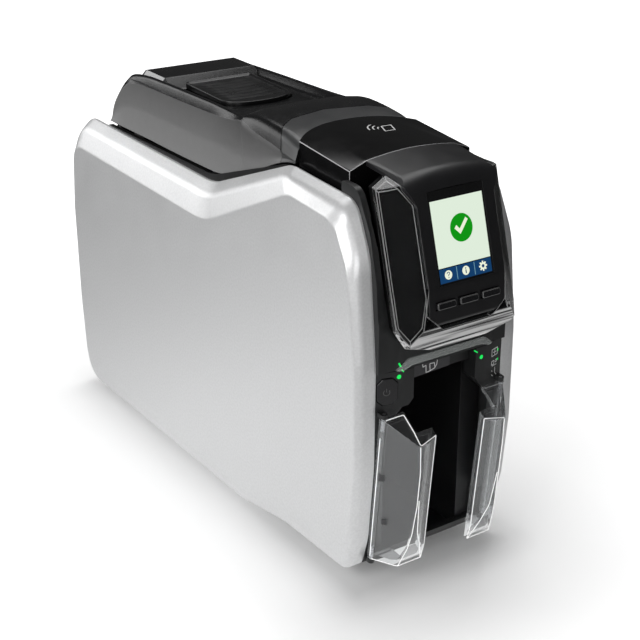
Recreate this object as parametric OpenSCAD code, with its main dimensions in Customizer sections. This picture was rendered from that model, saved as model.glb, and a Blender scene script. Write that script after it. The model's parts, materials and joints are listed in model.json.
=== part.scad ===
/* [Body] */
// overall width across the two side panels
body_w = 120; // [118:1:126]
// thickness of a side panel from its rim to its flat outer face
panel_t = 13; // [11:0.5:14]
// height of the rubber feet
foot_h = 5; // [4:0.5:6]
// wall thickness of the chassis side walls
wall_t = 3; // [2.5:0.5:4]

/* [Screen] */
// width of the screen glass
glass_w = 39.4; // [36:0.2:42]
// height of the screen glass
glass_h = 52.2; // [48:0.2:54]
// lean of the screen from the vertical, in degrees
screen_tilt = 16; // [14:1:18]
// width of one soft key
key_w = 13; // [10:0.5:14]
// height of one soft key
key_h = 4.2; // [3.5:0.1:5]

/* [Top cover] */
// wall thickness of the top cover sides
cover_t = 2.5; // [2:0.25:3]
// radius of the cover hinge pin
pin_r = 2.5; // [2:0.25:3]
// width of the ribbed release plate
release_w = 52; // [46:1:54]
// length of the ribbed release plate
release_l = 56; // [50:1:58]

/* [Doors] */
// wall thickness of the clear hopper doors
door_t = 2.2; // [1.8:0.1:2.6]
// radius of the door hinge pins
door_pin_r = 1.2; // [1:0.1:1.4]

/* [Card path] */
// width of a card
card_w = 54; // [54:0.1:54]
// radius of the feed rollers and the platen
roller_r = 7.5; // [6:0.5:8]
// outer radius of the ribbon on the supply spool
supply_r = 16; // [12:0.5:17]
// outer radius of the ribbon on the take-up spool
takeup_r = 11; // [9:0.5:15]

/* [Hidden] */
$fn = 64;
eps = 0.01;
fit = 0.05;
half = body_w / 2;
rim = half - panel_t;
mod_x = rim - 4;
cov_x = rim - 1;
wall_in = rim - wall_t;
hinge_y = 150;
hinge_z = 214;
arc_r = 50.5;
arc_y = -117.5;
screen_y = -188.7;
screen_z = 223.2;
path_z = 126;
rollers_y = [-30, 62, 118];
spool_z = 176;
supply_y = 12;
takeup_y = 108;
door_x = 43.9;
door_y = -169.2;
door_z = 21.2;
door_lean = 5.4;
door_h = 98.6;
key_pitch = 16;
key_z = 189.5;
key_tilt = 9;

black = [0.07, 0.07, 0.08];
dark = [0.16, 0.16, 0.17];
silver = [0.72, 0.73, 0.74];
clear = [0.85, 0.88, 0.9, 0.4];
steel = [0.6, 0.6, 0.62];

// a round fillet of radius r at corner b between a and c, in n steps
function unit(v) = v / norm(v);
function fillet(a, b, c, r, n) =
    let (u = unit(a - b), w = unit(c - b),
         h = acos(max(-1, min(1, u * w))) / 2,
         d = r / tan(h),
         o = b + unit(u + w) * (r / sin(h)),
         s = b + u * d - o,
         e = b + w * d - o,
         a0 = atan2(s[1], s[0]),
         a1 = atan2(e[1], e[0]),
         da = (a1 - a0 + 540) % 360 - 180)
    [for (i = [0 : n]) o + r * [cos(a0 + da * i / n), sin(a0 + da * i / n)]];

// a closed outline from corners given as [across, up, radius]
function outline(c, n) =
    [for (k = [0 : len(c) - 1])
        let (p = c[(k + len(c) - 1) % len(c)], q = c[k], s = c[(k + 1) % len(c)])
        each fillet([p[0], p[1]], [q[0], q[1]], [s[0], s[1]], q[2], n)];

// extrusions along each axis: the child drawing is seen from the side, the front or above
module along_x(x0, x1) {
    translate([x0, 0, 0]) rotate([90, 0, 90]) linear_extrude(x1 - x0) children();
}
module along_y(y0, y1) {
    translate([0, y1, 0]) rotate([90, 0, 0]) linear_extrude(y1 - y0) children();
}
module along_z(z0, z1) {
    translate([0, 0, z0]) linear_extrude(z1 - z0) children();
}
module box(x0, x1, y0, y1, z0, z1) {
    translate([x0, y0, z0]) cube([x1 - x0, y1 - y0, z1 - z0]);
}
module rod_x(x0, x1, y, z, r) {
    translate([x0, y, z]) rotate([0, 90, 0]) cylinder(h = x1 - x0, r = r);
}
module both() {
    children();
    mirror([1, 0, 0]) children();
}
module at_screen() {
    translate([0, screen_y, screen_z]) rotate([-screen_tilt, 0, 0]) children();
}
module at_keys() {
    translate([0, -197, key_z]) rotate([-key_tilt, 0, 0]) children();
}

// side panel outlines as [back, up, radius]: rim, flat face, and the pocket behind it
rim_c = [[193, 3, 15], [197, 70, 80], [197, 150, 80], [190, 215, 20], [2, 211, 50],
    [-92, 248, 22], [-155, 244, 14], [-168, 215, 50], [-174.6, 150, 80],
    [-174.6, 86, 80], [-170, 36, 50], [-163, 11, 12], [-90, 11, 60], [-40, 3, 60]];
face_c = [[193, 20, 12], [197, 72, 80], [197, 148, 80], [191, 197, 16], [-6, 192, 50],
    [-106, 237, 20], [-150, 233, 16], [-164, 206, 45], [-171, 150, 80],
    [-171.6, 88, 80], [-167.5, 44, 45], [-160, 25, 12], [-92, 33, 50], [-30, 18, 60]];
pocket_c = [[189, 26, 9], [191, 72, 60], [191, 148, 60], [185, 187, 12], [-10, 184, 40],
    [-108, 228, 16], [-144, 224, 12], [-156, 204, 40], [-164, 150, 60],
    [-164.6, 90, 60], [-160, 50, 40], [-153, 36, 10], [-92, 44, 40], [-30, 28, 50]];
edge_x = [10, 10, 10, 1.5, 1.2, 1.2, 1.2, 1.2, 1.2, 1.2, 1.6, 8, 10, 10];
steps = 7;

function ring(c, x) = [for (p = outline(c, steps)) [x, p[0], p[1]]];
function edge_ring(c) =
    let (o = outline(c, steps))
    [for (i = [0 : len(o) - 1]) [rim + edge_x[floor(i / (steps + 1))], o[i][0], o[i][1]]];

module side_panel_shell() {
    n = len(rim_c) * (steps + 1);
    rings = [ring(face_c, half), edge_ring(rim_c), ring(rim_c, rim),
        ring(pocket_c, rim), ring(pocket_c, half - 3)];
    pts = [for (r = rings) each r];
    bands = [for (k = [0 : len(rings) - 2], i = [0 : n - 1])
        [k * n + i, (k + 1) * n + i, (k + 1) * n + (i + 1) % n, k * n + (i + 1) % n]];
    first = [for (i = [0 : n - 1]) i];
    last = [for (i = [n - 1 : -1 : 0]) (len(rings) - 1) * n + i];
    polyhedron(points = pts, faces = concat([first], bands, [last]), convexity = 6);
}

module side_panel_right() {
    color(silver) side_panel_shell();
}
module side_panel_left() {
    color(silver) mirror([1, 0, 0]) side_panel_shell();
}

// chassis: floor, two side walls, bulkheads, decks and the hinge lugs
wall_c = [[192, 5, 2], [192, 205, 6], [157, 206, 2], [154, 218.2, 2], [3, 218.2, 50],
    [-84, 247, 16], [-148, 242, 12], [-162, 214, 40], [-168, 150, 60],
    [-168, 86, 60], [-164, 38, 40], [-158, 14, 8], [-92, 14, 50], [-42, 5, 60]];
module chassis() {
    color(black) {
        both() along_x(wall_in, rim) polygon(outline(wall_c, 6));
        box(-wall_in, wall_in, -63, 188, foot_h, foot_h + 3);
        box(-wall_in, wall_in, -63, -60, foot_h, 12);
        box(-wall_in, wall_in, -150, -60, 9, 12);
        box(-wall_in, wall_in, 145, 148, foot_h + 3, 203);
        box(-wall_in, wall_in, 145, 188, 203, 206);
        difference() {
            box(-wall_in, wall_in, -60, 145, 108, 111);
            box(-wall_in - eps, -36.6, 50, 120, 107, 112);
        }
        difference() {
            box(-wall_in, wall_in, -63, -60, 12, 237);
            box(-28.5, 28.5, -64, -59, 131, 137);
            box(-12, 12, -64, -59, 20, 60);
        }
        box(-wall_in, wall_in, -140, -72, 240, 243);
        box(-wall_in, wall_in, -75, -72, 234, 240);
        box(-wall_in, wall_in, -72, -60, 234, 237);
        both() difference() {
            union() {
                box(36, 40, 145.2, 154.8, 206, hinge_z);
                rod_x(36, 40, hinge_y, hinge_z, 4.8);
            }
            rod_x(35, 41, hinge_y, hinge_z, pin_r);
        }
    }
}

module rear_panel() {
    color(dark) difference() {
        box(-wall_in, wall_in, 188, 191, foot_h + 1, 202);
        box(-33, -5, 187, 192, 30, 50);
        box(6, 19, 187, 192, 34, 46);
        box(25, 41, 187, 192, 34, 48);
        for (k = [0 : 7]) box(-28, 28, 187, 192, 90 + 9 * k, 94 + 9 * k);
    }
}

module feet() {
    color(dark) for (x = [-34, 34], y = [-46, 170])
        translate([x, y, 0]) rotate_extrude()
            polygon([[0, 0], [7, 0], [8, 1], [8, foot_h], [0, foot_h]]);
}

module rear_screws() {
    color(steel) for (x = [-40, 40], z = [14, 194])
        translate([x, 193, z]) rotate([90, 0, 0]) difference() {
            cylinder(h = 2, r = 3);
            translate([-2, -0.5, -0.1]) cube([4, 1, 1.1]);
            translate([-0.5, -2, -0.1]) cube([1, 4, 1.1]);
        }
}

// display module: a top plate, a tilted head with slanting sides, its bezel and its clear shell
head_c = [[-27, 0], [27, 0], [mod_x, 14.5], [mod_x, 60], [-mod_x, 60], [-mod_x, 14.5]];
head_in = [[-25.9, 2.6], [25.9, 2.6], [mod_x - 2.6, 15.6], [mod_x - 2.6, 60],
    [-mod_x + 2.6, 60], [-mod_x + 2.6, 15.6]];
core_plan = [[-25.7, 3.1], [25.7, 3.1], [mod_x - 2.6, 15.9], [mod_x - 2.6, 60],
    [-mod_x + 2.6, 60], [-mod_x + 2.6, 15.9]];
core_side = [[-142, 259], [-168, 257], [-175.4, 252.5], [-191.8, 200.5], [-193.8, 178.9],
    [-193, 160], [-142, 160]];
top_c = [[-142, 262, 0.5], [-178.5, 258, 15], [-212, 150, 1], [-142, 150, 1]];
top_in = [[-142, 259.2, 0.5], [-176, 255.2, 12.5], [-209, 150, 1], [-142, 150, 1]];

module housing_plan() {
    intersection() {
        square([400, 400], center = true);
        union() {
            translate([0, arc_y]) circle(r = arc_r, $fn = 128);
            translate([-mod_x, -142]) square([2 * mod_x, 142 + arc_y]);
        }
    }
}
module plate_slant(d) {
    both() translate([32, -142, 262]) rotate([0, 35.2, -14.5])
        translate([-60, -60, -d]) cube([120, 120, 30 + d]);
}
module display_housing() {
    color(black) difference() {
        intersection() {
            along_x(-mod_x, mod_x) polygon([[-60, 243], [-60, 262.8], [-142, 262], [-142, 243]]);
            along_z(240, 270) housing_plan();
        }
        difference() {
            union() {
                intersection() {
                    along_x(-mod_x + 2.5, mod_x - 2.5)
                        polygon([[-72, 240], [-72, 260], [-145, 259.4], [-145, 240]]);
                    along_z(239, 271) translate([0, arc_y]) circle(r = arc_r - 3, $fn = 96);
                }
                box(-mod_x + 2.5, mod_x - 2.5, -145, arc_y, 240, 259.4);
            }
            plate_slant(2.4);
        }
        plate_slant(0);
    }
}

module head_solid(plan, top, low) {
    intersection() {
        at_screen() translate([0, 0, low]) linear_extrude(70 - low) polygon(plan);
        along_x(-60, 60) polygon(outline(top, 6));
    }
}
module display_core() {
    color(black) difference() {
        intersection() {
            head_solid(core_plan, top_in, -57.6);
            along_x(-60, 60) polygon(core_side);
            at_screen() intersection() {
                along_x(-60, 60) polygon([[2, -22], [7.2, -45], [16.8, -57.6], [24, -57.6],
                    [24, 60], [2, 60]]);
                along_y(-10, 40) polygon(lip_in);
            }
        }
        at_screen() box(-19.9, 19.9, 0, 9.2, -24.2, 28.4);
        at_screen() box(-24, 24, 0, 10.4, -44, -26);
        at_screen() box(-22, 22, 13, 30, -40, 24);
        plate_slant(3.1);
    }
}

bezel_out = [[-142, 262, 0.5], [-178.5, 258, 15], [-195.1, 201, 40], [-197, 178, 2.5],
    [-190, 175.5, 1], [-142, 175.5, 1]];
bezel_in = [[-141, 259.4, 0.5], [-176, 255.4, 12.5], [-192.4, 200.5, 38], [-194.4, 178.6, 1.5],
    [-190, 178.2, 1], [-141, 178.2, 1]];
module bezel_front() {
    polygon([[-17, 175], [17, 175], [27, 184], [27, 244], [32, 254], [32, 264],
        [-32, 264], [-32, 254], [-27, 244], [-27, 184]]);
}
module display_bezel() {
    color(black) difference() {
        intersection() {
            along_x(-40, 40) difference() {
                polygon(outline(bezel_out, 8));
                polygon(outline(bezel_in, 8));
            }
            along_y(-200, -142) bezel_front();
            box(-40, 40, -200, -142, 170, 270);
        }
        box(-40, 40, -194.2, -140, 170, 200);
        plate_slant(0);
        at_screen() box(-glass_w / 2, glass_w / 2, -4, 8, -glass_h / 2 + 2.2, glass_h / 2 + 2.2);
        for (k = [-1 : 1]) at_keys()
            box(k * key_pitch - key_w / 2 - 0.4, k * key_pitch + key_w / 2 + 0.4,
                -6, 8, -key_h / 2 - 0.4, key_h / 2 + 0.4);
    }
}
module screen_glass() {
    color([0.85, 0.95, 0.82]) at_screen()
        box(-glass_w / 2, glass_w / 2, 0.7, 1.9, -glass_h / 2 + 2.2, glass_h / 2 + 2.2);
}
module screen_module() {
    color(dark) at_screen() box(-19, 19, 1.9, 9, -23, 27);
}
module soft_key(k) {
    color(dark) at_keys() {
        along_y(-0.9, 2.4) translate([k * key_pitch, 0])
            polygon(outline([[-key_w / 2, -key_h / 2, 1.2], [key_w / 2, -key_h / 2, 1.2],
                [key_w / 2, key_h / 2, 1.2], [-key_w / 2, key_h / 2, 1.2]], 5));
    }
}
module soft_key_left() { soft_key(-1); }
module soft_key_middle() { soft_key(0); }
module soft_key_right() { soft_key(1); }

// clear shell round the head: slanting sides and a curled lower lip
lip_side = [[0, -23], [4.3, -46.5], [15.8, -60.5], [17.5, -60.5], [17.5, 60], [-6, 60], [-6, -23]];
lip_front = [[-mod_x, -45], [-37, -56], [-20, -60.5], [20, -60.5], [37, -56], [mod_x, -45],
    [mod_x, 60], [-mod_x, 60]];
lip_in = [[-mod_x + 2.6, -43.6], [-35.4, -53.6], [-19.4, -57.9], [19.4, -57.9], [35.4, -53.6],
    [mod_x - 2.6, -43.6], [mod_x - 2.6, 60], [-mod_x + 2.6, 60]];
module clear_lens() {
    color(clear) difference() {
        intersection() {
            head_solid(head_c, top_c, -61);
            at_screen() intersection() {
                along_x(-60, 60) polygon(lip_side);
                along_y(-10, 40) polygon(lip_front);
            }
        }
        difference() {
            intersection() {
                head_solid(head_in, top_in, -58);
                at_screen() intersection() {
                    along_x(-60, 60) polygon([[2.6, -22], [6.9, -45], [16.6, -57.9],
                        [40, -57.9], [40, 80], [2.6, 80]]);
                    along_y(-10, 60) polygon(lip_in);
                }
            }
            plate_slant(2.6);
        }
        plate_slant(0);
        along_y(-220, -142) polygon([[-17.2, 174.8], [17.2, 174.8], [27.3, 183.8], [27.3, 243.9],
            [32.3, 253.8], [32.3, 270], [-32.3, 270], [-32.3, 253.8], [-27.3, 243.9],
            [-27.3, 183.8]]);
    }
}

// fascia behind and below the head, folded like a shallow prow
prow = [[-rim, -160], [-rim, -174.4], [-31, -179.2], [31, -179.2], [rim, -174.4], [rim, -160]];
upper_side = [[-150, 146.8, 0.5], [-150, 200, 1], [-140, 236, 1], [-140, 251.5, 1],
    [-155, 250.5, 9], [-167.5, 227, 30], [-174, 200, 50], [-176.5, 172, 20], [-180, 170, 0.5],
    [-180, 146.8, 0.5]];
module upper_fascia() {
    color(black) difference() {
        union() {
            intersection() {
                along_x(-rim, rim) polygon(outline(upper_side, 6));
                union() {
                    along_z(140, 172.2) polygon(prow);
                    box(-rim, rim, -177, -139, 146, 252);
                }
            }
            box(-22.6, 22.6, -173, -170, 137.5, 148);
        }
        both() along_x(wall_in - 0.02, rim + 1) polygon(outline(wall_c, 6));
        box(-wall_in, wall_in, -169, -149, 150, 236);
        box(-mod_x - 0.05, mod_x + 0.05, -165, -130, 150, 260);
        at_screen() box(-mod_x - 0.05, mod_x + 0.05, -8, 24, -61, 70);
        along_y(-190, -176) light_plan();
    }
}
module light_plan() {
    polygon(outline([[-36, 147, 0.4], [-27.5, 153.6, 5], [27.5, 153.6, 5], [36, 147, 0.4],
        [31.5, 147, 0.4], [25.5, 149, 3], [-25.5, 149, 3], [-31.5, 147, 0.4]], 5));
}
module light_bar() {
    color([0.8, 0.9, 0.85, 0.6]) intersection() {
        along_y(-182, -176) light_plan();
        along_z(140, 160) translate([0, -1.4]) polygon(prow);
    }
}

// lower fascia: two pillars with slanting shoulders, a sill, and the door brackets
module hopper_mouth() {
    polygon([[-38, 12], [38, 12], [38, 112], [23, 127], [23, 150], [-23, 150], [-23, 127], [-38, 112]]);
}
module octagon(x, z, w, h, c) {
    translate([x, z]) polygon([[-w, -h + c], [-w + c, -h], [w - c, -h], [w, -h + c],
        [w, h - c], [w - c, h], [-w + c, h], [-w, h - c]]);
}
module at_door(a) {
    translate([door_x, door_y, door_z]) rotate([door_lean, 0, 0]) rotate([0, 0, a]) children();
}
module lower_fascia() {
    color(black) difference() {
        union() {
            difference() {
                intersection() {
                    along_z(17.4, 146.4) polygon(prow);
                    along_x(-rim, rim) polygon([[-160, 17.4], [-160, 146.4], [-182, 146.4],
                        [-182, 123.5], [-176.2, 123.5], [-166.3, 18.4], [-165, 17.4]]);
                }
                box(-wall_in, wall_in, -168.6, -159, 7, 147);
                box(-wall_in, wall_in, -164, -159, 7, 147);
                along_y(-190, -150) hopper_mouth();
            }
            both() at_door(0) {
                for (z = [-3.2, door_h + 0.4]) {
                    box(-2.2, 2.2, 0, 3.6, z, z + 2.6);
                    translate([0, 0, z]) cylinder(h = 2.6, r = 2.2);
                }
            }
            box(-wall_in, wall_in, -164.8, -160, 17.4, 20);
        }
        both() along_x(wall_in - 0.02, rim + 1) polygon(outline(wall_c, 6));
        along_y(-190, -150) octagon(-40.2, 134.6, 6.4, 8.6, 3.4);
        both() at_door(0) translate([0, 0, -5]) cylinder(h = door_h + 10, r = door_pin_r);
    }
}
module power_button() {
    color(dark) difference() {
        intersection() {
            along_y(-182, -170) octagon(-40.2, 134.6, 6, 8.2, 3.2);
            along_z(120, 150) translate([0, -0.7]) polygon(prow);
            box(-50, 0, -185, -171.5, 120, 150);
        }
    }
}
module status_leds() {
    color([0.1, 0.8, 0.2]) for (x = [-29.5, 29.5])
        translate([x, -179.2, 141.5]) rotate([90, 0, 0]) cylinder(h = 0.8, r = 1.4);
}

// hopper liner: the box behind the doors, open to the front
module hopper_liner() {
    color(black) difference() {
        union() {
            box(-31, 31, -159.9, -63, 12, 140);
            box(-43.5, 43.5, -159.9, -157.9, 12.2, 144);
        }
        box(-29, 29, -165, -66, 14, 138);
        box(-28.5, 28.5, -67, -60, 131, 137);
    }
}

// clear hopper doors: a slanting side, a front face, a sloping roof and an inner return
door_bow = [[0, -15.4], [15, -19.6], [26, -21.2], [46, -22.3], [70, -22.3]];
module door_solid(t) {
    intersection() {
        linear_extrude(door_h - t) polygon(outline([[1.9 - 0.84 * t, 30, 0.2],
            [1.9 - 0.84 * t, 0.5 * t, 0.3], [-12.6 - 0.4 * t, -22.6 + 1.23 * t, 3.4 - t],
            [-25.9 + t, -17.4 + 1.2 * t, 0.8], [-25.9 + t, 30, 0.2]], 5));
        along_x(-40, 10) polygon(concat([[40, t], [-12.6 + t, t]],
            [for (p = door_bow) [p[1] + t, max(p[0], 3.4)]],
            [[-20.4 + t, 87.4 - 1.2 * t], [-1, door_h - 1.1 * t], [40, door_h - 1.1 * t]]));
    }
}
module door_shell() {
    difference() {
        union() {
            difference() {
                door_solid(0);
                translate([0, 0, -0.01]) door_solid(door_t);
                translate([-40, -13, -1]) cube([25.6, 60, 200]);
                translate([-40, 0.2, -1]) cube([60, 60, 200]);
            }
            translate([0, 0, 0.4]) cylinder(h = door_h - 0.8, r = 2.4);
            translate([-13.3, -2.2, door_h - 4.2]) cube([13, 2.4, 4.2]);
        }
        translate([0, 0, -1]) cylinder(h = door_h + 2, r = door_pin_r + fit);
    }
}
module door_right() {
    color(clear) at_door(0) door_shell();
}
module door_left() {
    color(clear) mirror([1, 0, 0]) at_door(0) door_shell();
}
module door_pins() {
    color(steel) both() at_door(0) {
        translate([0, 0, -3.2]) cylinder(h = 12, r = door_pin_r);
        translate([0, 0, door_h - 8]) cylinder(h = 10.6, r = door_pin_r);
    }
}

// top cover: an arched shell with a rear hump, a recess for the release plate and a front visor
cover_side = [[152, 221, 0.8], [151, 232, 8], [131, 257.5, 9], [118, 259.6, 20], [10, 259.4, 40],
    [-26, 262.5, 30], [-47, 267.4, 8], [-92, 256.2, 1], [-92, 249.4, 1], [-78, 246, 2],
    [2, 219.5, 40]];
cover_inner = [[149.4, 216, 0.5], [148.4, 230, 8], [129.5, 247.5, 8], [118, 249, 6], [-2, 249, 20],
    [-30, 256, 16], [-48, 262.6, 8], [-95, 251, 1], [-95, 200, 1], [149.4, 200, 1]];
cover_front = [[cov_x, 215, 0.5], [cov_x, 226, 8], [cov_x - 1.4, 238, 20], [cov_x - 1.3, 249, 12],
    [cov_x, 258.5, 3], [cov_x - 4, 264, 3], [22, 267.6, 20], [-22, 267.6, 20],
    [-cov_x + 4, 264, 3], [-cov_x, 258.5, 3], [-cov_x + 1.3, 249, 12],
    [-cov_x + 1.4, 238, 20], [-cov_x, 226, 8], [-cov_x, 215, 0.5]];
hump_side = [[117, 256, 0.5], [110, 264.4, 4], [82, 265.4, 4], [77.5, 258, 2], [77.5, 256, 0.2]];
module release_plan(w, l, r) {
    translate([0, 48]) polygon(outline([[-w / 2, -l / 2, r], [w / 2, -l / 2, r],
        [w / 2, l / 2, r / 2], [-w / 2, l / 2, r / 2]], 5));
}
module top_cover() {
    color(dark) difference() {
        union() {
            difference() {
                intersection() {
                    along_x(-cov_x, cov_x) polygon(outline(cover_side, 6));
                    along_y(-100, 160) polygon(outline(cover_front, 5));
                }
                difference() {
                    along_z(256, 270) polygon(outline([[-41, 8, 12], [-41, 124, 6], [41, 124, 6],
                        [41, 8, 12], [22, -12, 20], [-22, -12, 20]], 5));
                    along_z(255, 258) release_plan(release_w + 8, release_l + 8, 9);
                }
            }
            intersection() {
                along_x(-38, 38) polygon(outline(hump_side, 4));
                along_y(70, 120) polygon([[-38, 255], [-32, 266], [32, 266], [38, 255]]);
            }
        }
        along_x(-cov_x + cover_t, cov_x - cover_t) polygon(outline(cover_inner, 6));
        along_z(200, 280) translate([0, arc_y]) circle(r = arc_r + 0.8, $fn = 128);
        box(-60, 60, -140, -92, 200, 280);
        along_z(252.5, 270) release_plan(release_w + 1, release_l + 1, 6.5);
        for (y = [28, 68]) translate([0, y, 240]) cylinder(h = 20, r = 2.5 + fit);
    }
}
module release_plate() {
    color(black) {
        intersection() {
            along_z(256, 262) release_plan(release_w, release_l, 6);
            along_x(-30, 30) polygon([[18, 255], [18, 258.2], [78, 260.6], [78, 255]]);
        }
        for (k = [0 : 6])
            translate([0, 27 + 6.6 * k, 257.8 + 0.26 * k]) along_x(-21, 21)
                polygon([[-1.1, 0], [0, 1.5], [1.1, 0]]);
        for (y = [28, 68]) translate([0, y, 246.5]) cylinder(h = 10, r = 2.5);
    }
}
module cover_arms() {
    color(dark) both() difference() {
        union() {
            rod_x(30.4, 35.6, hinge_y, hinge_z, 5);
            along_x(30.4, 35.6) polygon([[145.1, 215], [148.9, 218.8], [147.8, 229], [134, 242.8],
                [128, 246.8], [119, 248.9], [119, 242], [138, 226]]);
        }
        rod_x(30, 36, hinge_y, hinge_z, pin_r + fit);
    }
}
module cover_pin() {
    color(steel) rod_x(-40, 40, hinge_y, hinge_z, pin_r);
}
module cover_tongue() {
    color(steel) {
        box(-8, 8, -50, -47, 226, 264.5);
        box(-8, 8, -51.5, -46, 226, 229);
    }
}

// print head on the underside of the cover
module printhead() {
    color(steel) {
        box(-29, 29, 55, 69, 140, 168);
        box(-12, 12, 59, 65, 168, 249);
        box(-28.5, 28.5, 60, 64, 136.8, 140);
    }
}

// print frame: two bearing plates with cross ties, carrying rollers and ribbon spools
frame_side = [[-42, 111, 1], [-42, 138, 4], [-6, 160, 10], [-6, 188, 6], [30, 188, 6],
    [34, 146, 8], [88, 146, 8], [92, 188, 6], [124, 188, 6], [130, 140, 10], [130, 111, 1]];
module print_frame() {
    color(dark) difference() {
        union() {
            both() along_x(33, 36) polygon(outline(frame_side, 5));
            box(-33, 33, 84, 90, 111, 116);
            box(-33, 33, 8, 14, 111, 116);
        }
        for (y = rollers_y) rod_x(-50, 50, y, path_z, 3 + fit);
        rod_x(-50, 50, supply_y, spool_z, 3 + fit);
        rod_x(-50, 50, takeup_y, spool_z, 3 + fit);
    }
}
module spool(y, r) {
    rod_x(-36.8, 36.8, y, spool_z, 3);
    rod_x(-32.4, 32.4, y, spool_z, 6);
    rod_x(-29, 29, y, spool_z, r);
    rod_x(-31.5, -30, y, spool_z, r + 1);
    rod_x(30, 31.5, y, spool_z, r + 1);
}
module supply_spool() { color([0.1, 0.1, 0.4]) spool(supply_y, supply_r); }
module takeup_spool() { color([0.1, 0.1, 0.3]) spool(takeup_y, takeup_r); }
module ribbon_film() {
    color([0.3, 0.1, 0.3]) along_x(-28, 28)
        polygon([[28.6, 168], [29.1, 168], [56.2, 135.9], [67.8, 135.9],
            [95.9, 168], [96.4, 168], [68.2, 135.4], [55.8, 135.4]]);
}
module roller(y, right) {
    rod_x(-36.9, right, y, path_z, 3);
    rod_x(-card_w / 2 - 2, card_w / 2 + 2, y, path_z, roller_r);
    rod_x(37.6, 41.2, y, path_z, 6);
}
module platen_roller() { color(dark) roller(rollers_y[1], 41.2); }
module feed_roller_front() { color(dark) roller(rollers_y[0], 41.2); }
module feed_roller_rear() { color(dark) roller(rollers_y[2], 41.2); }
module belt_plan(r) {
    translate([rollers_y[0], path_z]) circle(r = r);
    translate([rollers_y[2], path_z]) circle(r = r);
    translate([rollers_y[0], path_z - r]) square([rollers_y[2] - rollers_y[0], 2 * r]);
}
module feed_belt() {
    color(black) along_x(38, 41) difference() {
        belt_plan(7.8);
        belt_plan(6.4);
    }
}
module drive_motor() {
    color(steel) {
        rod_x(-37.5, -4, 86, 82, 14);
        box(-43.5, -37.5, 54, 104, 66, 140);
        box(-30, -8, 78, 94, 94, 108);
    }
}
module main_board() {
    color([0.05, 0.25, 0.12]) {
        box(-35, 35, 20, 140, 14, 15.6);
        for (x = [-30, 30], y = [26, 134])
            translate([x, y, 8]) cylinder(h = 6, r = 3);
        box(-15, 5, 60, 80, 15.6, 18);
        box(10, 30, 40, 60, 15.6, 20);
        box(10, 30, 90, 104, 15.6, 24);
    }
}
module power_inlet() {
    color(black) difference() {
        box(-33, -5, 172, 191.5, 30, 50);
        box(-30, -8, 176, 192, 33, 47);
    }
    color(steel) for (x = [-25, -19, -13]) box(x - 0.6, x + 0.6, 175, 186, 38, 42);
}
module usb_port() {
    color(steel) difference() {
        box(6, 19, 176, 191, 34, 46);
        box(7.4, 17.6, 178, 192, 35.4, 44.6);
    }
    color(black) box(9.5, 15.5, 177, 185, 38.4, 41.6);
}
module network_port() {
    color(steel) difference() {
        box(25, 41, 172, 191, 34, 48);
        box(26.6, 39.4, 176, 192, 36, 46);
    }
}

chassis();
side_panel_left();
side_panel_right();
rear_panel();
feet();
display_housing();
display_core();
display_bezel();
clear_lens();
screen_module();
screen_glass();
soft_key_left();
soft_key_middle();
soft_key_right();
upper_fascia();
light_bar();
lower_fascia();
power_button();
status_leds();
hopper_liner();
door_left();
door_right();
door_pins();
top_cover();
cover_arms();
cover_pin();
cover_tongue();
release_plate();
printhead();
print_frame();
supply_spool();
takeup_spool();
ribbon_film();
platen_roller();
feed_roller_front();
feed_roller_rear();
feed_belt();
drive_motor();
main_board();
power_inlet();
usb_port();
network_port();
rear_screws();
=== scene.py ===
"""An id card printer with silver sides, a tilted screen and clear hopper doors."""
import math

import bmesh
import bpy
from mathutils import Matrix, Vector
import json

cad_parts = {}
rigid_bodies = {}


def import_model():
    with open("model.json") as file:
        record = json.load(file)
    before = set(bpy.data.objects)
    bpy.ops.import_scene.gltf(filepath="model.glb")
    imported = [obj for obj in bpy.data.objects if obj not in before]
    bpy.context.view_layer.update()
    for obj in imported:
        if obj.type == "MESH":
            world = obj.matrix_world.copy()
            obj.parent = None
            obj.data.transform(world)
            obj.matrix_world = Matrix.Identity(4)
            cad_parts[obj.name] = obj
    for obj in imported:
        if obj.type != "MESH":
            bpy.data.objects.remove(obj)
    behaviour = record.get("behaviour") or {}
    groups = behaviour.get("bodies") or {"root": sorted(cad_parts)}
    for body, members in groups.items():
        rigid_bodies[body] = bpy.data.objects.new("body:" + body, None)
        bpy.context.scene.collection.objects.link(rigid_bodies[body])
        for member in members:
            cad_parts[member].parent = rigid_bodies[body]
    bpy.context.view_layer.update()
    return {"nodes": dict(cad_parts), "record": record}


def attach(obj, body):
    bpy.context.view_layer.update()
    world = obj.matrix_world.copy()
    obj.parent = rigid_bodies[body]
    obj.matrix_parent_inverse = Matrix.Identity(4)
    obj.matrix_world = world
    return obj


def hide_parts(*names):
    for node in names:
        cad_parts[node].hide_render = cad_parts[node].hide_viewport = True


MM = 0.001

for old in list(bpy.data.objects):
    bpy.data.objects.remove(old)
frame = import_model()
nodes = frame["nodes"]
body_of_node = {
    name: body
    for body, names in frame["record"]["behaviour"]["bodies"].items()
    for name in names
}
slot_of_node = {s["node"]: s["material_slot"] for s in frame["record"]["subparts"]}


# ---- node materials

# patches of noise in a metre, for tone, gloss, a metal's grain and its flakes
TONE_PATCHES, GLOSS_PATCHES, METAL_PATCHES, FLAKES = 38.0, 90.0, 700.0, 5200.0
BRUSHED = (12.0, 900.0, 900.0)
PLASTIC_GLOSS_CHANGE, METAL_GLOSS_CHANGE = 0.04, 0.03
CLEAR_IOR, FROSTED_IOR, COAT_IOR = 1.05, 1.3, 1.5
# relief in the shading, in metres
GRAIN_DEPTH, FLAKE_DEPTH = 0.0001, 0.00003
WHITE = (1, 1, 1, 1)


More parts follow.
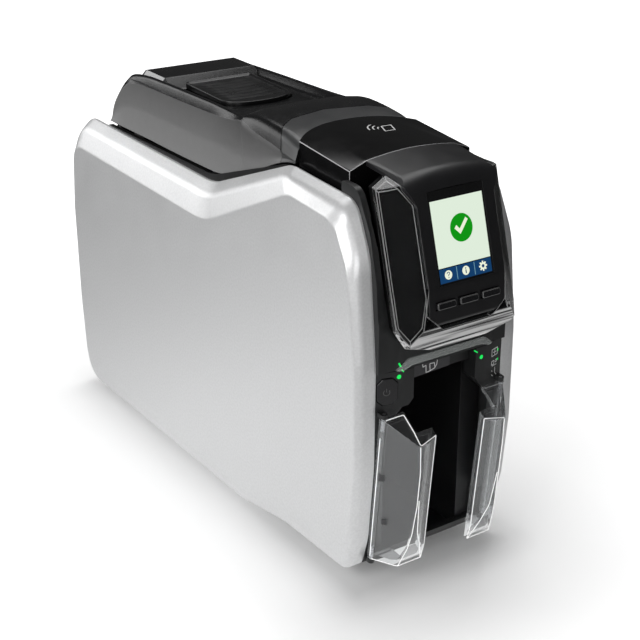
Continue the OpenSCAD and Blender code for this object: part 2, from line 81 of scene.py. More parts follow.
def new_material(name, sockets):
    """A material with those socket values, its node tree and its shader."""
    mat = bpy.data.materials.new(name)
    mat.use_nodes = True
    tree = mat.node_tree
    shader = tree.nodes["Principled BSDF"]
    for socket, value in sockets.items():
        shader.inputs[socket].default_value = value
    return mat, tree, shader


def add(tree, kind, **settings):
    """A shader node; a setting is the value of an input or else an attribute."""
    node = tree.nodes.new("ShaderNode" + kind)
    for key, value in settings.items():
        if key in node.inputs:
            node.inputs[key].default_value = value
        else:
            setattr(node, key, value)
    return node


def link(source, socket):
    socket.id_data.links.new(source, socket)


def object_place(tree):
    return add(tree, "TexCoord").outputs["Object"]


def noise(tree, scale, detail=3.0):
    """Noise on the object; of three scales, the smallest is along its streaks."""
    scales = scale if isinstance(scale, tuple) else (scale,) * 3
    mapping = add(tree, "Mapping", Scale=scales)
    link(object_place(tree), mapping.inputs["Vector"])
    node = add(tree, "TexNoise", Scale=1.0, Detail=detail)
    link(mapping.outputs["Vector"], node.inputs["Vector"])
    return node.outputs["Fac"]


def ramp(tree, fac, stops):
    """A colour ramp through stops given as (place, grey or colour)."""
    node = add(tree, "ValToRGB")
    elements = node.color_ramp.elements
    while len(elements) < len(stops):
        elements.new(0.5)
    for element, (place, value) in zip(elements, stops):
        rgb = (value, value, value) if isinstance(value, float) else value
        element.position = place
        element.color = (*rgb, 1.0)
    link(fac, node.inputs["Fac"])
    return node.outputs["Color"]


def follow(tree, shader, socket, fac, stops):
    """One of the shader's sockets follows a ramp."""
    link(ramp(tree, fac, stops), shader.inputs[socket])


def bump(tree, shader, height, strength, distance):
    node = add(tree, "Bump", Strength=strength, Distance=distance)
    link(height, node.inputs["Height"])
    link(node.outputs["Normal"], shader.inputs["Normal"])


def plastic(name, colour, rough, grain=0.0, grain_scale=2600.0, vary=0.12, coat=0.0, specular=0.5):
    """Moulded plastic with a fine grain; colour may be a list of (height, grey), which paints shade by
    height.
    """
    mat, tree, shader = new_material(name, {
        "Specular IOR Level": specular, "Coat Weight": coat, "Coat Roughness": 0.06})
    if isinstance(colour, list):
        axes = add(tree, "SeparateXYZ")
        link(object_place(tree), axes.inputs[0])
        follow(tree, shader, "Base Color", axes.outputs["Z"], colour)
    else:
        follow(tree, shader, "Base Color", noise(tree, TONE_PATCHES), [
            (0.3, tuple(c * (1 - vary) for c in colour)),
            (0.7, tuple(min(1.0, c * (1 + vary)) for c in colour))])
    follow(tree, shader, "Roughness", noise(tree, GLOSS_PATCHES, 4.0), [
        (0.3, max(0.02, rough - PLASTIC_GLOSS_CHANGE)), (0.7, rough + PLASTIC_GLOSS_CHANGE)])
    if grain > 0:
        bump(tree, shader, noise(tree, grain_scale, 2.0), grain, GRAIN_DEPTH)
    return mat


def metal(name, colour, rough, streak=0.0, metallic=1.0, flake=0.0):
    """Metal or metallic paint, with flakes or a brushed streak."""
    mat, tree, shader = new_material(name, {"Metallic": metallic})
    follow(tree, shader, "Base Color", noise(tree, METAL_PATCHES, 2.0), [
        (0.35, tuple(c * 0.965 for c in colour)),
        (0.65, tuple(min(1.0, c * 1.03) for c in colour))])
    change = streak or METAL_GLOSS_CHANGE
    pattern = noise(tree, BRUSHED, 2.0) if streak else noise(tree, 60.0)
    follow(tree, shader, "Roughness", pattern, [(0.3, rough - change), (0.7, rough + change)])
    if flake > 0:
        bump(tree, shader, noise(tree, FLAKES, 1.0), flake, FLAKE_DEPTH)
    return mat


def clear(name, tint, rough=0.03, haze=0.0, outside=False):
    """Thin clear plastic under a glossy skin, which may be on the outside only."""
    mat, tree, shader = new_material(name, {
        "Transmission Weight": 1.0 - haze, "IOR": CLEAR_IOR, "Coat Weight": 1.0,
        "Coat IOR": COAT_IOR, "Coat Roughness": rough})
    if outside:
        front = add(tree, "Math", operation="SUBTRACT")
        front.inputs[0].default_value = 1.0
        geometry = add(tree, "NewGeometry")
        link(geometry.outputs["Backfacing"], front.inputs[1])
        link(front.outputs[0], shader.inputs["Coat Weight"])
    follow(tree, shader, "Base Color", noise(tree, 30.0), [
        (0.3, tint), (0.7, tuple(min(1.0, c * 1.01) for c in tint))])
    follow(tree, shader, "Roughness", noise(tree, 50.0, 2.0), [(0.4, rough * 0.5), (0.6, rough * 1.5)])
    return mat


def frosted(name, grey, rough, through, painted_glow=0.0, stripes=None):
    """A hazy, pale edge of clear plastic that stands in for bright refraction lines, a painted
    highlight, and may glow with painted light of that strength; stripes are the scales of the bright
    streaks painted into its glow.
    """
    mat, tree, shader = new_material(name, {
        "Transmission Weight": through, "IOR": FROSTED_IOR, "Emission Color": WHITE,
        "Emission Strength": painted_glow})
    if stripes:
        tone = ramp(tree, noise(tree, stripes, 1.0), [(0.42, grey * 0.04), (0.58, grey)])
        link(tone, shader.inputs["Emission Color"])
    else:
        tone = ramp(tree, noise(tree, 60.0), [(0.3, grey * 0.85), (0.7, grey)])
    link(tone, shader.inputs["Base Color"])
    follow(tree, shader, "Roughness", noise(tree, 50.0, 2.0), [(0.4, rough * 0.7), (0.6, rough * 1.3)])
    return mat


def lit(name, colour, strength=0.98):
    """A surface that gives light, such as the screen's picture."""
    return new_material(name, {
        "Base Color": (0.005, 0.005, 0.005, 1), "Emission Color": (*colour, 1),
        "Emission Strength": strength, "Roughness": 0.25, "Specular IOR Level": 0.25})[0]


SILVER = metal("silver_paint", (0.8, 0.805, 0.81), 0.4, metallic=0.55, flake=0.04)
BLACK = plastic("black_satin", (0.009, 0.009, 0.0095), 0.4, grain=0.25)
GLOSS = plastic("black_gloss", (0.006, 0.006, 0.0065), 0.12, coat=0.3)
BEZEL = plastic("bezel_satin", (0.012, 0.012, 0.013), 0.34, grain=0.12)
FASCIA = plastic("fascia_satin", (0.014, 0.0145, 0.015), 0.38, grain=0.2)
DARK = plastic("dark_plastic", (0.05, 0.05, 0.053), 0.5, grain=0.2)
COVER = plastic("cover_satin", (0.007, 0.007, 0.0075), 0.25, grain=0.3, specular=0.4)
# painted shade and reflection: the side wall is paler than the cover and darker towards the top, for
# how light falls on it
PAINTED_WALL = plastic("cover_wall_painted_shade", [(0.222, 0.17), (0.262, 0.045)], 0.5, grain=0.35, specular=1.0)
BAND = plastic("band_satin", (0.04, 0.041, 0.042), 0.34, grain=0.3)
KEY = plastic("key_satin", (0.012, 0.012, 0.013), 0.18)
# painted highlight: a pale grey on the keys' rounded edges
KEY_HIGHLIGHT = plastic("key_painted_highlight", (0.1, 0.1, 0.1), 0.15)
PLATE = plastic("release_satin", (0.006, 0.006, 0.0065), 0.3, grain=0.15)
PLATE_TOP = plastic("plate_satin", (0.004, 0.004, 0.0042), 0.2, grain=0.12, specular=0.22)
# painted highlight: a pale grey on the display plate's rounded side and front edges
EDGE_HIGHLIGHT = plastic("painted_edge_highlight", (0.42, 0.42, 0.43), 0.25)
# painted highlight: a paler, glossier black on the sloping ends of the hump
HUMP_END_HIGHLIGHT = plastic("cover_painted_highlight", (0.05, 0.05, 0.052), 0.22, coat=1.0, specular=1.0)
CORE = plastic("core_black", (0.004, 0.004, 0.0042), 0.5, specular=0.03)
PALE_INK = plastic("printed_pale", (0.9, 0.9, 0.9), 0.4)
FAINT_INK = plastic("printed_faint", (0.09, 0.09, 0.09), 0.5)
RUBBER = plastic("foot_rubber", (0.015, 0.015, 0.015), 0.75, grain=0.35, grain_scale=1400.0)
ROLLER = plastic("roller_rubber", (0.04, 0.04, 0.042), 0.65, grain=0.3, grain_scale=2000.0)
RIBBON = plastic("ribbon_film", (0.03, 0.022, 0.09), 0.2, vary=0.3)
BOARD = plastic("solder_mask", (0.012, 0.09, 0.035), 0.35, vary=0.2)
STEEL = metal("plated_steel", (0.6, 0.6, 0.62), 0.28, streak=0.08)
ALLOY = metal("head_alloy", (0.55, 0.56, 0.58), 0.36, streak=0.1)
CLEAR = clear("clear_polycarbonate", (0.96, 0.975, 0.975), outside=True)
# painted shade: a dark tint on the doors' sloping tops
ROOF_SHADE = clear("clear_roof_painted_dark", (0.2, 0.2, 0.205), outside=True)
DOOR = clear("clear_door", (0.87, 0.885, 0.89), haze=0.055)
GUIDE = clear("light_guide", (0.9, 0.95, 0.93), rough=0.08, haze=0.25)
# painted highlight: a pale frosted grey on the rounded edges of the lens and the light bar
FROSTED_HIGHLIGHT = frosted("clear_edge_painted_highlight", 0.42, rough=0.2, through=0.5)
# painted glow: the doors' pale rims give light of their own, as painted highlights
RIM_GLOW = frosted("clear_rim_painted_glow", 0.95, rough=0.12, through=0.1, painted_glow=0.35)
# painted glow: the lens's lower lip is pale and glows in bright streaks, standing in for refraction
# lines
LIP_GLOW = frosted("clear_lip_painted_glow", 0.9, rough=0.15, through=0.6, painted_glow=0.2, stripes=(12.0, 330.0, 330.0))
LED_AND_PAINTED_GLINTS = lit("led_green", (0.01, 0.85, 0.12), 1.0)
SCREEN = lit("screen_pale", (0.75, 0.86, 0.72))
SHOW_GREEN = lit("screen_green", (0.002, 0.29, 0.004))
SHOW_BLUE = lit("screen_blue", (0.004, 0.045, 0.14))
SHOW_CREAM = lit("screen_cream", (0.85, 0.9, 0.72))
SHOW_RULE = lit("screen_rule", (0.2, 0.42, 0.5), 0.9)

SLOT_MATERIAL = {
    "silver_panel": SILVER, "black_plastic": BLACK, "gloss_black": GLOSS, "dark_plastic": DARK,
    "cover_plastic": COVER, "key_plastic": KEY, "foot_rubber": RUBBER, "roller_rubber": ROLLER,
    "clear_plastic": CLEAR, "screen": SCREEN, "light_guide": GUIDE, "led_green": LED_AND_PAINTED_GLINTS,
    "steel": STEEL, "head_metal": ALLOY, "ribbon": RIBBON, "board_green": BOARD}
NODE_MATERIAL = {
    "screen_glass": GLOSS, "display_bezel": BEZEL, "upper_fascia": FASCIA, "lower_fascia": FASCIA,
    "release_plate": PLATE}


def own_material(node):
    return NODE_MATERIAL.get(node, SLOT_MATERIAL[slot_of_node[node]])


# ---- drawing, in millimetres

# the share of an edge that the arc at one of its ends may take
MOST_OF_EDGE = 0.48
NEARLY_STRAIGHT = math.radians(89.0)


def bend(a, b, c, radius, steps):
    """An arc in the corner at b between a and c, as steps + 1 points."""
    a, b, c = Vector(a), Vector(b), Vector(c)
    u, w = a - b, c - b
    room = MOST_OF_EDGE * min(u.length, w.length)
    if room < 1e-6:
        return [b.copy() for _ in range(steps + 1)]
    u.normalize()
    w.normalize()
    half = math.acos(max(-1.0, min(1.0, u.dot(w)))) / 2
    if half > NEARLY_STRAIGHT:
        reach = min(room, 1.0)
        return [b + u * reach * (1 - i / steps) + w * reach * (i / steps) for i in range(steps + 1)]
    reach = min(max(radius, 1e-4) / math.tan(half), room)
    centre = b + (u + w).normalized() * (reach * math.tan(half) / math.sin(half))
    start, end = b + u * reach - centre, b + w * reach - centre
    turn = math.pi - 2 * half
    return [centre + (start * math.sin((1 - i / steps) * turn) + end * math.sin(i / steps * turn))
            / math.sin(turn) for i in range(steps + 1)]


def outline(corners, steps):
    """A closed outline from corners given as (across, up, radius)."""
    flat = [Vector(c[:2]) for c in corners]
    count = len(corners)
    return [p for k in range(count)
            for p in bend(flat[k - 1], flat[k], flat[(k + 1) % count], corners[k][2], steps)]


def path(corners, steps):
    """An open line through corners (..., radius); its ends are kept."""
    flat = [Vector(c[:-1]) for c in corners]
    made = [flat[0]]
    for k in range(1, len(corners) - 1):
        made += bend(flat[k - 1], flat[k], flat[k + 1], corners[k][-1], steps)
    return made + [flat[-1]]


def smoothstep(t):
    t = max(0.0, min(1.0, t))
    return t * t * (3 - 2 * t)


def lerp(a, b, t):
    return a + (b - a) * t


def through(stops, at):
    """A smooth monotone curve through stops (place, value)."""
    if stops[0][0] > stops[-1][0]:
        stops = stops[::-1]
    if at <= stops[0][0]:
        return stops[0][1]
    if at >= stops[-1][0]:
        return stops[-1][1]
    k = max(i for i in range(len(stops) - 1) if stops[i][0] <= at)

    def rise(i):
        return (stops[i + 1][1] - stops[i][1]) / (stops[i + 1][0] - stops[i][0])

    def slope(i):
        if i in (0, len(stops) - 1):
            return 0.0
        before, after = rise(i - 1), rise(i)
        return 0.0 if before * after <= 0 else 2 * before * after / (before + after)

    (x0, y0), (x1, y1) = stops[k], stops[k + 1]
    h = x1 - x0
    t = (at - x0) / h
    return (y0 * (1 + 2 * t) * (1 - t) ** 2 + slope(k) * h * t * (1 - t) ** 2
            + y1 * t * t * (3 - 2 * t) + slope(k + 1) * h * t * t * (t - 1))


def circle(x, z, radius, count=40):
    return [(x + radius * math.cos(2 * math.pi * k / count),
             z + radius * math.sin(2 * math.pi * k / count)) for k in range(count)]


def arc(x, z, wide, high, degrees):
    """Points on part of an ellipse, at those degrees."""
    return [(x + wide * math.cos(math.radians(d)), z + high * math.sin(math.radians(d)))
            for d in degrees]


def box(left, right, low, high):
    return [(left, low), (right, low), (right, high), (left, high)]


def stroke(points, width):
    """A flat band of that width along a line."""
    left, right = [], []
    for i, p in enumerate(points):
        a, b = Vector(points[max(0, i - 1)]), Vector(points[min(len(points) - 1, i + 1)])
        along = (b - a).normalized()
        side = Vector((-along.y, along.x)) * width / 2
        left.append(tuple(Vector(p) + side))
        right.append(tuple(Vector(p) - side))
    return left + right[::-1]


def gear(x, z, radius, teeth=8):
    """The outline of a toothed wheel, as a sign for settings."""
    made = []
    for k in range(teeth):
        for share, reach in ((-0.22, 1.0), (0.22, 1.0), (0.3, 0.72), (0.7, 0.72)):
            angle = 2 * math.pi * (k + share) / teeth
            made.append((x + radius * reach * math.cos(angle), z + radius * reach * math.sin(angle)))
    return made


# ---- making pieces

# in metres: when two points are one, and when an edge has no length
SAME_POINT, NO_LENGTH = 2e-6, 1e-6


def new_object(name, data):
    obj = bpy.data.objects.new(name, data)
    bpy.context.scene.collection.objects.link(obj)
    return obj


def place(mesh, name, node, materials, replaces=False):
    """A piece with a CAD node's body and slot, beside the node or in its place."""
    obj = new_object(name, mesh)
    for material in materials if isinstance(materials, list) else [materials]:
        mesh.materials.append(material)
    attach(obj, body_of_node[node])
    if replaces:
        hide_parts(node)
    return obj


class Shape:
    """Points and faces in millimetres; a face's kind is the number of its material."""

    def __init__(self):
        self.points, self.faces, self.kinds = [], [], []

    def row(self, points):
        start = len(self.points)
        self.points += [tuple(p) for p in points]
        return list(range(start, len(self.points)))

    def face(self, corners, kind=0):
        self.faces.append(tuple(corners))
        self.kinds.append(kind)

    def join(self, one, two, closed=False, kind=0):
        """Quads between two equal rows; kind may be a function of the place."""
        count = len(one)
        for i in range(count if closed else count - 1):
            j = (i + 1) % count
            self.face((one[i], two[i], two[j], one[j]), kind(i) if callable(kind) else kind)

    def tube(self, rows):
        """A closed tube through rows that go round, with a cap at each end."""
        rows = [self.row(r) for r in rows]
        for one, two in zip(rows, rows[1:]):
            self.join(one, two, True)
        self.face(rows[0])
        self.face(rows[-1][::-1])

    def prism(self, flat, low, high, at, kind=0):
        """A flat outline given thickness; at turns (across, up, depth) into a point."""
        a = self.row([at(p[0], p[1], low) for p in flat])
        b = self.row([at(p[0], p[1], high) for p in flat])
        self.join(a, b, True, kind)
        self.face(a[::-1], kind)
        self.face(b, kind)

    def bead(self, points, radius, sides=6):
        """A thin round bead along a line."""
        rows = []
        for i, p in enumerate(points):
            along = (points[min(len(points) - 1, i + 1)] - points[max(0, i - 1)]).normalized()
            side = along.cross(Vector((0.3, 1.0, 0.2))).normalized()
            up = along.cross(side)
            rows.append([p + (side * math.cos(a) + up * math.sin(a)) * radius
                         for a in [2 * math.pi * k / sides for k in range(sides)]])
        self.tube(rows)

    def piece(self, name, node, materials, replaces=False, mirror=False, sharp=35.0):
        """Placed in metres, smooth but for edges sharper than that many degrees."""
        mesh = bpy.data.meshes.new(name)
        across = -MM if mirror else MM
        mesh.from_pydata([(x * across, y * MM, z * MM) for x, y, z in self.points], [], self.faces)
        for polygon, kind in zip(mesh.polygons, self.kinds):
            polygon.material_index = kind
        made = bmesh.new()
        made.from_mesh(mesh)
        bmesh.ops.remove_doubles(made, verts=made.verts, dist=SAME_POINT)
        bmesh.ops.dissolve_degenerate(made, edges=made.edges, dist=NO_LENGTH)
        bmesh.ops.recalc_face_normals(made, faces=made.faces)
        for face in made.faces:
            face.smooth = True
        made.to_mesh(mesh)
        made.free()
        mesh.set_sharp_from_angle(angle=math.radians(sharp))
        return place(mesh, name, node, materials, replaces)


def weigh_normals(obj, weight, keep_sharp=False):
    """Large faces keep their own normal beside narrow rounded edges."""
    weighted = obj.modifiers.new("normals", "WEIGHTED_NORMAL")
    weighted.weight = weight
    weighted.keep_sharp = keep_sharp


def soften(node, width, cuts=(), shape=None, materials=None, paint=None, edge=None, extra=()):
    """A CAD node's shape with rounded edges, in its place. It is cut at cuts for shape to bend it, and
    paint gives a face the number of its material. Edge, where given, is the material of the rounded
    edges, which paints a highlight on them."""
    made = bmesh.new()
    made.from_mesh(nodes[node].data)
    bmesh.ops.remove_doubles(made, verts=made.verts, dist=SAME_POINT)
    bmesh.ops.dissolve_limit(
        made, angle_limit=math.radians(0.4), verts=made.verts, edges=made.edges)
    for x in cuts:
        bmesh.ops.bisect_plane(made, geom=made.verts[:] + made.edges[:] + made.faces[:],
                               plane_co=(x * MM, 0, 0), plane_no=(1, 0, 0))
    if shape:
        for vert in made.verts:
            vert.co = Vector(shape(*(vert.co / MM))) * MM
    mesh = bpy.data.meshes.new(node + "_shape")
    made.to_mesh(mesh)
    made.free()
    for name in ("custom_normal", "sharp_face", "sharp_edge"):
        if name in mesh.attributes:
            mesh.attributes.remove(mesh.attributes[name])
    skin = materials or own_material(node)
    obj = place(mesh, node + "_shell", node, [skin, edge, *extra] if edge else skin, replaces=True)
    for polygon in mesh.polygons:
        polygon.use_smooth = True
        if paint:
            polygon.material_index = paint(polygon)
    bevel = obj.modifiers.new("edges", "BEVEL")
    bevel.width = width * MM
    bevel.segments = 2
    bevel.limit_method = "ANGLE"
    bevel.angle_limit = math.radians(28.0)
    bevel.material = 1 if edge else -1
    weigh_normals(obj, 80)


for node, obj in nodes.items():
    obj.data.materials.clear()
    obj.data.materials.append(own_material(node))


# ---- silver side panels

PANEL_STEPS = 14
RIM_X, FACE_X, POCKET_X = 47.0, 60.0, 57.0
# (along, up, radius) of the corners of the rim, the face and the pocket behind it
RIM = [(193, 3, 15), (197, 70, 80), (197, 150, 80), (190, 215, 20), (2, 211, 50), (-92, 248, 22),
       (-155, 244, 14), (-168, 215, 50), (-174.6, 150, 80), (-174.6, 86, 80), (-170, 36, 50),
       (-163, 11, 12), (-90, 11, 60), (-40, 3, 60)]
FACE = [(193, 20, 12), (197, 72, 80), (197, 148, 80), (191, 197, 16), (-6, 192, 50),
        (-106, 237, 20), (-150, 233, 16), (-164, 206, 45), (-171, 150, 80), (-171.6, 88, 80),
        (-167.5, 44, 45), (-160, 25, 12), (-92, 33, 50), (-30, 18, 60)]
POCKET = [(189, 26, 9), (191, 72, 60), (191, 148, 60), (185, 187, 12), (-10, 184, 40),
          (-108, 228, 16), (-144, 224, 12), (-156, 204, 40), (-164, 150, 60), (-164.6, 90, 60),
          (-160, 50, 40), (-153, 36, 10), (-92, 44, 40), (-30, 28, 50)]
# the rim's width and lift at each corner
RIM_WIDTH = [10, 10, 10, 1.5, 1.2, 1.2, 1.2, 1.2, 1.2, 1.2, 1.6, 8, 10, 10]
RIM_LIFT = [0, 0, 0, 3.6, 2.6, 0.4, 0, 0, 0, 0, 0, 0, 0, 0]
PANEL_MIDDLE = Vector((10.0, 120.0))
FACE_EDGE = 3.0


def near_corner(values, k, t):
    """The value near corner k: t is a share of half the way to the next corner, or back."""
    here = values[k]
    after = lerp(here, values[(k + 1) % len(values)], 0.5)
    before = lerp(here, values[k - 1], 0.5)
    return here + (after - here) * max(0.0, t) + (before - here) * max(0.0, -t)


def make_side_panel(name, mirror):
    """A dished panel: a flat face, a broad crowned bevel round it and a rolled rim."""
    rim, face, pocket = (outline(corners, PANEL_STEPS) for corners in (RIM, FACE, POCKET))
    columns = []
    for i, face_at in enumerate(face):
        k, part = divmod(i, PANEL_STEPS + 1)
        t = part / PANEL_STEPS - 0.5
        width = near_corner(RIM_WIDTH, k, t)
        along = (rim[(i + 1) % len(rim)] - rim[i - 1]).normalized()
        out = Vector((along.y, -along.x))
        rim_at = rim[i] + out * (near_corner(RIM_LIFT, k, t) * max(0.0, out.y))
        inner = RIM_X + width
        narrow = 1.0 - min(1.0, width / 8.0)
        control = rim_at + (face_at - rim_at) * lerp(0.25, 0.34, narrow)
        flat_at = face_at + (PANEL_MIDDLE - face_at).normalized() * FACE_EDGE
        columns.append([Vector((RIM_X, *pocket[i]))] + path([
            (RIM_X, *rim_at, 0.0),
            (inner, *rim_at, lerp(2.0, 1.3, narrow)),
            (inner + (FACE_X - inner) * 0.6, *control, 12.0),
            (FACE_X, *face_at, 2.6),
            (FACE_X, *flat_at, 0.0)], 6))
    rows = [[Vector((POCKET_X, *p)) for p in pocket]]
    rows += [[column[j] for column in columns] for j in range(len(columns[0]))]
    shape = Shape()
    shape.tube(rows)
    obj = shape.piece(name + "_shell", name, SILVER, replaces=True, mirror=mirror, sharp=50.0)
    weigh_normals(obj, 90, keep_sharp=True)


make_side_panel("side_panel_right", False)
make_side_panel("side_panel_left", True)


# ---- top cover

# (along, height) of the cover's lower edge and of the cavity under it
COVER_LOW = [(152, 221), (104, 221), (40, 220.3), (4, 220.4), (-12, 222), (-30, 226), (-78, 246),
             (-92, 249.4)]
COVER_CAVITY = [(149.2, 228.5), (146, 232), (129.5, 246.8), (118, 249), (0, 249), (-27, 252.5),
                (-46, 259), (-62, 259), (-80, 257)]
# the cover's rows from rear to front: place, middle height, then (across, height, radius) of the
# valley's foot, the shoulder, the crease and the scoop, whose height is a share
COVER_KEYS = [
    (152, 221.6, (30, 221.6, 1), (40, 221.6, 1), (45.5, 221.5, 0.5), (46.4, 0.5, 0.5)),
    (151.6, 227, (30, 227, 3), (39, 227, 3), (44.8, 224.5, 1.5), (45.4, 0.45, 6)),
    (149, 236, (31, 236, 4), (39.5, 236, 3), (44.6, 232, 1.2), (44.3, 0.42, 10)),
    (143, 246, (32, 246, 5), (39.8, 246.4, 4), (43.4, 241.5, 2), (44, 0.45, 30)),
    (133, 254.5, (32, 254.5, 5), (39.8, 255.4, 4), (42.4, 249.8, 3), (43.7, 0.48, 40)),
    (126, 257.5, (32.5, 257.7, 5), (39.8, 259.8, 3.4), (41.9, 252.9, 4), (43.5, 0.5, 40)),
    (112, 257.8, (33, 257.8, 5), (39.8, 263.2, 3.2), (41.6, 254.6, 5), (43.4, 0.5, 40)),
    (95, 257.2, (33, 257.2, 5), (39.8, 265.2, 3.2), (41.6, 255.2, 5), (43.4, 0.5, 40)),
    (50, 256.8, (33, 256.8, 5), (39.8, 265.8, 3.2), (41.6, 255.2, 5), (43.4, 0.5, 40)),
    (15, 256.5, (33, 256.5, 6), (39.9, 265.4, 3.2), (41.6, 255.6, 5), (43.4, 0.5, 40)),
    (-2, 256.4, (33, 256.4, 7), (40.2, 264.4, 3), (42.4, 256.6, 3), (43.6, 0.5, 40)),
    (-16, 256.2, (34, 256.4, 7), (40.8, 263.4, 2.5), (43.8, 258.6, 1.2), (43.8, 0.45, 40)),
    (-25.2, 256.2, (36, 257, 5), (42, 263, 2), (45.2, 260.6, 0.7), (43.9, 0.42, 40)),
    (-26, 265.5, (28, 265.4, 20), (42.4, 263.4, 3), (45.4, 260.6, 1.6), (44, 0.42, 40)),
    (-27, 265.7, (28, 265.6, 30), (42.6, 263.8, 4), (45.5, 259.5, 7), (44.2, 0.43, 40)),
    (-31, 266.6, (28, 266.5, 30), (43, 265.2, 6), (45.7, 257.5, 12), (44.6, 0.44, 36)),
    (-38, 267.05, (28, 267.05, 40), (43.4, 266.5, 7), (45.9, 255, 16), (45, 0.45, 32)),
    (-46, 267.1, (28, 267.1, 40), (43.5, 266.9, 7), (46, 253.5, 18), (45.3, 0.5, 30)),
    (-54.5, 267.1, (28, 267.1, 40), (43.5, 266.9, 7), (46, 253, 18), (45.5, 0.5, 30)),
    (-77, 267.1, (28, 267.1, 40), (43.5, 266.9, 7), (46, 253, 18), (45.6, 0.5, 30))]
# where the cover has rows of points
COVER_ROWS = [
    152, 151.8, 151.4, 150.8, 150, 149.4, 149.2, 148, 146, *range(143, 115, -3), 112, 107, 102,
    96, 90, 84, 79, 77.05, 77, *range(72, 29, -6), 26, 23, 20, 18, 16, 14.5, 13.2, 12.3, 11.6,
    11.2, 11, 10.95, *range(9, -22, -3), -23.5, -24.8, -25.2, -25.4, -25.6, -25.8, -26, -26.5,
    -27.5, -29, -31, -33, -35.5, *range(-38, -54, -3), -54.2, -54.35, -54.65, -54.8,
    *range(-57, -76, -2), -76.2, -76.8, -77]
CREST, BAND_EDGE, FRONT_EDGE = -26.0, -54.5, -77.0
SEAM_ROWS, SEAM_DEPTH = (-54.35, -54.65), 0.5
# (along, drop) of the crest's fall towards the front
CREST_FALL = [(-100, 8.2), (-90, 6.2), (-80, 3.6), (-72, 2.3), (-62, 1.2), (-54, 0.5), (-46, 0.0)]
# the recess of the release plate
WELL_FRONT, WELL_REAR, WELL_HALF, WELL_FLOOR, WELL_BOW = 11.0, 77.0, 27.2, 252.2, 15.0
# how many of the section's first points belong to the side wall
WALL_POINTS = 27
SIDE_X = 46.6
SECTION_STEPS, INNER_STEPS = 8, 6


def cover_shift(across, row):
    """How far a cover row bends forward at that distance from the middle."""
    x = min(abs(across), SIDE_X)
    crease = -4.0 * (min(x, 42.0) / 42.0) ** 2
    outer = -22.0 * (x / 46.0) ** 2.6
    inner = max(-17.0 * (x / 43.0) ** 2.6, -92.0 - FRONT_EDGE)
    if row > CREST:
        return crease * smoothstep((4.0 - row) / 30.0)
    if row > BAND_EDGE:
        return lerp(crease, outer, smoothstep((CREST - row) / (CREST - BAND_EDGE)))
    return lerp(outer, inner, (BAND_EDGE - row) / (BAND_EDGE - FRONT_EDGE))


def well_half(y):
    """Half the width of the release plate's recess there, or None outside it."""
    if y < WELL_FRONT or y > WELL_REAR:
        return None
    bow = max(0.0, WELL_FRONT + WELL_BOW - y) / WELL_BOW
    return WELL_HALF * min(1.0, math.sqrt(max(0.0, 1 - bow ** 2.4)))


def cover_section(row):
    """Half of the cover's section: its skin, its cavity and its crease's height."""
    def key(pick):
        return through([(k[0], pick(k)) for k in COVER_KEYS], row)

    foot, shoulder, crease, scoop = (
        [key(lambda k, a=a, b=b: k[a][b]) for b in range(3)] for a in range(2, 6))
    low = through(COVER_LOW, row + cover_shift(47.2, row))
    scoop[1] = lerp(low, crease[1], scoop[1])
    middle = key(lambda k: k[1])
    wide = well_half(row)
    floor = middle if wide is None else WELL_FLOOR
    wide = max(wide or 0.0, 1.0)
    outer = path([
        (0.0, floor, 0.0), (wide - 0.1, floor, 0.05), (wide, middle, 0.3),
        foot, shoulder, crease, scoop, (46.9, low, 0.5), (44.4, low, 0.0)], SECTION_STEPS)
    if row > COVER_CAVITY[0][0] + 0.1:
        inner = path([(x, low, 0.1) for x in (0.0, 20.0, 30.0, 43.6, 44.2)], INNER_STEPS)
    else:
        top = through(COVER_CAVITY, row)
        side = min(top, shoulder[1] - 4.2)
        inner = path([(0.0, top, 0.0), (24.0, min(top, foot[1] - 3.0), 3.0), (36.0, side, 3.0),
                      (41.2, max(low + 0.1, min(side - 9.0, crease[1] - 9.0)), 2.0),
                      (44.2, low, 0.0)], INNER_STEPS)
    return outer, inner, crease[1]


def cover_ring(row):
    """The whole section: the skin from left to right, the cavity back again, and how many of
    the points are the skin's."""
    outer, inner, crease = cover_section(row)
    half_outer = []
    for i, (x, z) in enumerate(outer):
        if row in SEAM_ROWS and i == 0:
            z -= SEAM_DEPTH
        elif row in SEAM_ROWS and i < len(outer) - SECTION_STEPS - 1:
            along = outer[i + 1] - outer[i - 1]
            if along.length > 1e-6:
                along.normalize()
                x, z = x - abs(along.y) * SEAM_DEPTH, z - abs(along.x) * SEAM_DEPTH
        y = row + cover_shift(SIDE_X if z < crease and x > 40.0 else x, row)
        if row <= CREST:
            z -= through(CREST_FALL, y) * smoothstep((z - 246.0) / 16.0)
        half_outer.append((x, y, z))
    half_inner = [(x, row + cover_shift(SIDE_X if x > 41.0 else x, row), z) for x, z in inner]
    left = [(-x, y, z) for x, y, z in half_outer]
    left_in = [(-x, y, z) for x, y, z in half_inner]
    return left[::-1] + half_outer[1:] + half_inner[::-1] + left_in[1:], 2 * len(half_outer) - 1


def make_cover():
    """The hinged cover: a hollow shell with a valley, a crest across it and a band in front."""
    shape = Shape()
    ids = []
    for row in COVER_ROWS:
        ring, skin_points = cover_ring(row)
        ids.append(shape.row(ring))
    plain, band, wall = range(3)

    def kind(i, row):
        if i >= skin_points - 1:
            return plain
        if row < BAND_EDGE:
            return band
        return wall if min(i, skin_points - 2 - i) < WALL_POINTS else plain

    for row, one, two in zip(COVER_ROWS, ids, ids[1:]):
        shape.join(one, two, True, kind=lambda i, row=row: kind(i, row))
    shape.face(ids[0])
    shape.face(ids[-1][::-1])
    # the side wall's faces take the material with painted shade
    shape.piece("top_cover_shell", "top_cover", [COVER, BAND, PAINTED_WALL], replaces=True, sharp=40.0)


HUMP_HALF, HUMP_FOOT, HUMP_CROWN = 42.4, 256.2, 0.5


